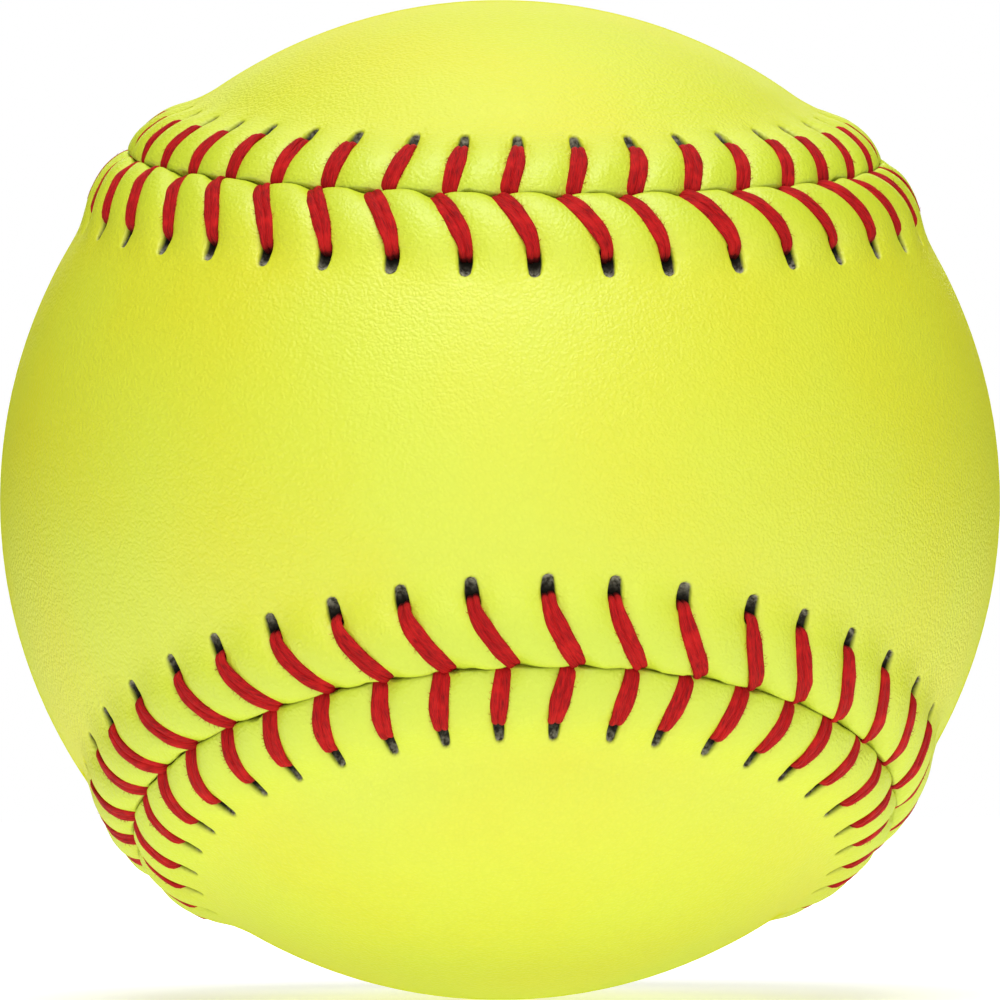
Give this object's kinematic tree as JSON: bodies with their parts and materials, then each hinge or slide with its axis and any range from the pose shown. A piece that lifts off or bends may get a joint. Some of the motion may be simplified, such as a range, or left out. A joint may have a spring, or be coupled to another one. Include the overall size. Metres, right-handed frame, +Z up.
{
  "type": "softball",
  "caption": "Optic yellow leather softball with a raised red stitched seam: a moulded core under two figure-eight cover panels, cemented on and sewn edge to edge.",
  "frame": {"origin": "centre of the ball", "axes": "+Z up, with the ball resting on smooth leather; -Y out of the front, where the narrow waist of the front panel is turned up a little from level; +X to the right as seen from the front"},
  "size_m": [0.097, 0.0973, 0.097],
  "materials": {
    "core": "matte moulded polyurethane",
    "cement": "thin matte film",
    "leather": "fine pebbled grain, satin",
    "thread": "waxed thread"
  },
  "bodies": {
    "root": {"core": "core", "cement_film": "cement", "front_cover_panel": "leather", "rear_cover_panel": "leather", "front_panel_stitches": "thread", "rear_panel_stitches": "thread"}
  },
  "joints": []
}
